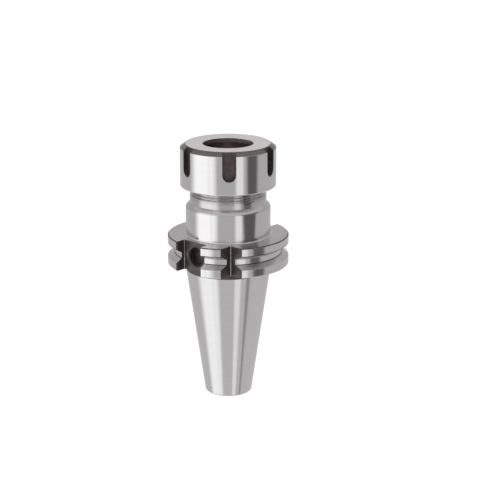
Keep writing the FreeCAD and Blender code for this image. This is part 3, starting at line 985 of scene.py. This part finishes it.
@dataclass
class Studio:
    """Camera, pale floor, one soft lamp and a world of soft panels round the object."""

    target_height: float = 79.4
    distance: float = 833.16
    azimuth: float = 222.2
    elevation: float = 16.246
    pitch: float = 16.435
    tilt: float = -0.126
    lens: float = 113.8
    shift: tuple[float, float] = (0.0435, 0.0052)
    ambient: float = 0.6
    zenith: float = 0.8
    dark_tint: tuple[float, float, float] = (1.0, 0.925, 0.965)
    haze: float = 0.92
    haze_share: float = 0.25
    haze_band: tuple[float, float] = (-0.3, -0.5)
    zenith_band: tuple[float, float] = (0.42, 0.72)
    floor_radii: tuple[float, ...] = (3.0, 0.3, 0.04, 0.0)
    floor_glow: float = 0.93
    lamp_turn: float = -60.0
    lamp_reach: float = 0.75
    lamp_height: float = 0.85
    lamp_aim: float = 0.08
    lamp_size: float = 0.7
    lamp_watts: float = 3.0
    panels: tuple[Panel, ...] = (
        Panel(-67, 25, 12, 0.86),
        Panel(-36, 7, 4, 0.5),
        Panel(28, 9, 3, 0.5),
        Panel(60, 20.5, 3, -0.46, 29),
    )

    def camera(self) -> None:
        """The camera, aimed at the axis and turned down a little more than its line of sight."""
        data = bpy.data.cameras.new("studio_camera")
        data.lens = self.lens
        data.sensor_width = 36.0
        data.shift_x, data.shift_y = self.shift
        data.clip_start, data.clip_end = 0.01, 20.0
        camera = bpy.data.objects.new("studio_camera", data)
        bpy.context.scene.collection.objects.link(camera)
        around, lift = math.radians(self.azimuth), math.radians(self.elevation)
        flat = self.distance * math.cos(lift) * MM
        camera.location = (flat * math.cos(around), flat * math.sin(around),
                           (self.target_height + self.distance * math.sin(lift)) * MM)
        level = Euler((math.pi / 2 - math.radians(self.pitch), 0, around + math.pi / 2))
        turned = level.to_matrix() @ Matrix.Rotation(math.radians(self.tilt), 3, "Z")
        camera.rotation_euler = turned.to_euler()
        bpy.context.scene.camera = camera

    def soft_panel_group(self) -> NodeTree:
        """Strength of one panel: full within its half width, eased to nothing over its edge."""
        inputs = dict.fromkeys(("Azimuth", "Height", "Centre", "Half Width", "Edge", "Strength",
                                "Taper"), 0.0)
        bench, start, end = new_group("soft panel", inputs, ("Light",))
        half = bench.math("MULTIPLY_ADD", start.outputs["Height"], start.outputs["Taper"],
                          start.outputs["Half Width"])
        apart = bench.math("SUBTRACT", start.outputs["Azimuth"], start.outputs["Centre"])
        wrapped = bench.math("WRAP", apart, math.pi, -math.pi)
        away = bench.math("ABSOLUTE", wrapped)
        outer = bench.math("ADD", half, start.outputs["Edge"])
        inner = bench.math("SUBTRACT", half, start.outputs["Edge"])
        eased = bench.ramp(away, inner, outer, 1.0, 0.0, "SMOOTHSTEP")
        bench.feed(end, {"Light": bench.math("MULTIPLY", eased, start.outputs["Strength"])})
        return bench.tree

    def world(self) -> None:
        """White behind the object; soft panels of light all round for everything else."""
        world = bpy.data.worlds.new("studio_world")
        world.use_nodes = True
        bpy.context.scene.world = world
        bench = Bench(world.node_tree)
        nodes = bench.tree.nodes
        way = bench.add("ShaderNodeTexCoord")
        parts = bench.add("ShaderNodeSeparateXYZ", {0: way.outputs["Generated"]})
        azimuth = bench.math("ARCTAN2", parts.outputs["Y"], parts.outputs["X"])
        azimuth = bench.math("SUBTRACT", azimuth, math.radians(self.azimuth))
        group = self.soft_panel_group()
        total: object = self.ambient
        for panel in self.panels:
            light = bench.group(group, {"Azimuth": azimuth, "Height": parts.outputs["Z"],
                                        "Centre": math.radians(panel.centre),
                                        "Taper": math.radians(panel.taper),
                                        "Half Width": math.radians(panel.half_width),
                                        "Edge": math.radians(panel.edge),
                                        "Strength": panel.strength})
            total = bench.math("ADD", light.outputs["Light"], total)
        low = bench.ramp(parts.outputs["Z"], *self.haze_band, 0.0, self.haze_share, "SMOOTHSTEP")
        total = bench.level(low, total, self.haze)
        high = bench.ramp(parts.outputs["Z"], *self.zenith_band, kind="SMOOTHSTEP")
        level = bench.level(high, total, self.zenith)
        tint = bench.blend(level, self.dark_tint, (1, 1, 1))
        studio = bench.feed(nodes["Background"], {"Color": tint, "Strength": level})
        white = bench.add("ShaderNodeBackground", {"Color": (1, 1, 1, 1), "Strength": 1.0})
        seen = bench.by_ray("Is Camera Ray", studio.outputs[0], white.outputs[0])
        bench.feed(nodes["World Output"], {"Surface": seen})

    def floor(self) -> None:
        """A pale disc under the holder that fades into the white behind it."""
        angle = np.linspace(0, TURN, 96, endpoint=False)
        radius = np.array(self.floor_radii)[:, None]
        points = np.stack([radius * np.cos(angle), radius * np.sin(angle), radius * 0 * angle], -1)
        shell = Shell()
        shell.add_grid(points, np.zeros(len(radius), dtype=int))
        floor = shell.weld("studio_floor")
        material, bench = new_material("pale_floor")
        nodes = bench.tree.nodes
        nodes.remove(nodes["Principled BSDF"])
        place = bench.add("ShaderNodeTexCoord")
        tint = bench.blend(bench.noise(place.outputs["Object"], 40.0), (0.14,) * 3, (0.16,) * 3)
        paper = bench.add("ShaderNodeBsdfDiffuse", {"Color": tint})
        glow = bench.add("ShaderNodeEmission", {"Color": (1, 1, 1, 1),
                                                "Strength": self.floor_glow})
        shown = bench.add("ShaderNodeAddShader", {0: paper.outputs[0], 1: glow.outputs[0]})
        plain = bench.add("ShaderNodeBsdfDiffuse", {"Color": (0.8, 0.8, 0.8, 1)})
        clear = bench.add("ShaderNodeBsdfTransparent")
        seen = bench.by_ray("Is Camera Ray", plain.outputs[0], shown.outputs[0])
        seen = bench.by_ray("Is Glossy Ray", seen, clear.outputs[0])
        bench.feed(nodes["Material Output"], {"Surface": seen})
        floor.data.materials.append(material)

    def lamp(self) -> None:
        """One large soft lamp, high on the camera's left."""
        data = bpy.data.lights.new("soft_lamp", "AREA")
        data.shape = "DISK"
        data.size = self.lamp_size
        data.energy = self.lamp_watts
        lamp = bpy.data.objects.new("soft_lamp", data)
        bpy.context.scene.collection.objects.link(lamp)
        around = math.radians(self.azimuth + self.lamp_turn)
        spot = np.array([self.lamp_reach * math.cos(around), self.lamp_reach * math.sin(around),
                         self.lamp_height])
        aim = np.array([0, 0, self.lamp_aim]) - spot
        lamp.location = tuple(spot)
        lamp.rotation_euler = (math.acos(-aim[2] / np.linalg.norm(aim)), 0,
                               math.atan2(aim[1], aim[0]) - math.pi / 2)
        lamp.visible_camera = False
        lamp.visible_glossy = False

    def build(self) -> None:
        """Sets up the camera, world, floor and lamp."""
        scene = bpy.context.scene
        scene.view_settings.view_transform = "Standard"
        self.camera()
        self.world()
        self.floor()
        self.lamp()


def holder_finishes() -> SteelSet:
    """Finishes of the holder body."""
    return SteelSet(
        ground=BrightSteel("holder_ground_steel"),
        # Turned faces, flanks and shoulder: a darker steel than the ground faces, painted dark
        # reflection in place of a dark part of the studio.
        turned=BrightSteel("holder_turned_steel_painted_reflection", dark=(0.5, 0.485, 0.495),
                           light=(0.57, 0.555, 0.565), roughness=(0.18, 0.26), rings=2200.0),
        thread=BrightSteel("holder_thread_steel", dark=(0.42, 0.41, 0.41),
                           light=(0.52, 0.51, 0.51), roughness=(0.1, 0.14), rings=5000.0),
        blackened=BlackenedAndShadedSteel("holder_blackened_steel"),
        pale_edge=BrightSteel("holder_pale_edge", dark=(0.2, 0.19, 0.18), light=(0.5, 0.49, 0.47),
                              roughness=(0.3, 0.4)),
        # The seat cone and the bores: a brown steel darker than the ground steel, painted shade for
        # the dim inside of the holder.
        bore=BlackenedAndShadedSteel("holder_bore_painted_shade", coat=(0.5, 0.41, 0.4), thin=(0.64, 0.55, 0.54),
                            metallic=0.9),
        chamfer=BrightSteel("holder_chamfer"),
    )


def nut_finishes() -> SteelSet:
    """Finishes of the clamping nut."""
    return SteelSet(
        ground=BrightSteel("nut_ground_steel"),
        # The nut's turned faces: a much paler steel than its sides, painted light on the upward top
        # face.
        turned=BrightSteel("nut_face_steel_painted_light", dark=(0.82, 0.79, 0.785),
                           light=(0.92, 0.895, 0.89), roughness=(0.22, 0.3), rings=2600.0),
        thread=BrightSteel("nut_thread_steel", roughness=(0.25, 0.35), rings=5000.0),
        blackened=BlackenedAndShadedSteel("nut_blackened_steel"),
        pale_edge=BrightSteel("nut_pale_edge", dark=(0.3, 0.29, 0.28), light=(0.55, 0.54, 0.52),
                              roughness=(0.25, 0.35)),
        # The nut's mouth, lip, ring groove and bores: a brown steel darker than its ground steel,
        # painted shade for the dim inside of the nut.
        bore=BlackenedAndShadedSteel("nut_bore_painted_shade", coat=(0.36, 0.28, 0.27), thin=(0.5, 0.42, 0.41),
                            metallic=0.9),
        chamfer=BrightSteel("nut_chamfer_steel", dark=(0.12, 0.107, 0.106),
                            light=(0.2, 0.18, 0.18), roughness=(0.2, 0.3), rings=6000.0),
    )


def ring_finish() -> BlackenedAndShadedSteel:
    """Finish of the extraction ring: brown steel whose tone is painted shade, matched to the shaded
    mouth of the nut.
    """
    return BlackenedAndShadedSteel("ring_steel_painted_shade", coat=(0.52, 0.41, 0.4), thin=(0.66, 0.56, 0.55),
                          metallic=0.9)


def main() -> None:
    """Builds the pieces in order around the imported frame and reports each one."""
    logging.basicConfig(level=logging.INFO, format="%(name)s: %(message)s")
    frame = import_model()
    groups = ShaderGroups()
    Studio().build()
    pieces = [HolderBody().build(holder_finishes(), groups),
              ClampingNut().build(nut_finishes(), groups),
              ExtractionRing().dress(frame["nodes"], ring_finish(), groups)]
    for piece in pieces:
        piece.data.calc_loop_triangles()
        LOG.info("%s: %d triangles", piece.name, len(piece.data.loop_triangles))


if __name__ == "__main__":
    main()
